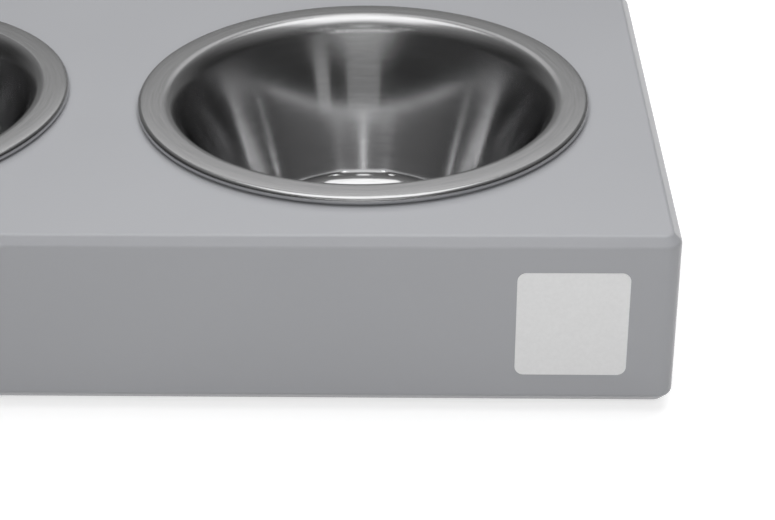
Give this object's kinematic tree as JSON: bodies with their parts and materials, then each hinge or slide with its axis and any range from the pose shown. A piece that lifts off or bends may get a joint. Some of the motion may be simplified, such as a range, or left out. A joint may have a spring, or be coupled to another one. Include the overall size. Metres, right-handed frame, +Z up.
{
  "type": "double pet bowl",
  "caption": "Low lacquered pet feeding stand, a long box with bevelled edges, whose round seats hold lift-out flanged steel bowls for food and water.",
  "frame": {"origin": "middle of the stand's footprint, on the floor plane under the feet", "axes": "+X along the stand to the right of its front, -Y towards the front with the label, +Z up"},
  "size_m": [0.391, 0.2033, 0.0684],
  "materials": {
    "lacquer": "satin grey lacquer sprayed on fine fibreboard",
    "raw_board": "sealed raw fibreboard",
    "beech": "plain turned beech",
    "foot_rubber": "matte black moulded rubber",
    "screw_steel": "zinc-plated steel",
    "label_white": "plain satin white film",
    "bowl_steel": "pressed stainless steel, satin flange and polished inside"
  },
  "bodies": {
    "stand": {"top_panel": "lacquer", "front_board": "lacquer", "back_board": "lacquer", "left_end_board": "lacquer", "right_end_board": "lacquer", "centre_rail": "raw_board", "block_front_left": "raw_board", "block_front_right": "raw_board", "block_back_left": "raw_board", "block_back_right": "raw_board", "corner_dowels": "beech", "rail_dowels": "beech", "top_dowels": "beech", "foot_front_left": "foot_rubber", "foot_front_right": "foot_rubber", "foot_back_left": "foot_rubber", "foot_back_right": "foot_rubber", "foot_screws": "screw_steel", "label": "label_white"},
    "left_bowl": {"bowl_left": "bowl_steel"},
    "right_bowl": {"bowl_right": "bowl_steel"}
  },
  "joints": [
    {"name": "left_bowl_lift", "type": "slide", "parent": "stand", "child": "left_bowl", "axis": [0, 0, 1], "range_m": [0, 0.07]},
    {"name": "right_bowl_lift", "type": "slide", "parent": "stand", "child": "right_bowl", "axis": [0, 0, 1], "range_m": [0, 0.07]}
  ]
}
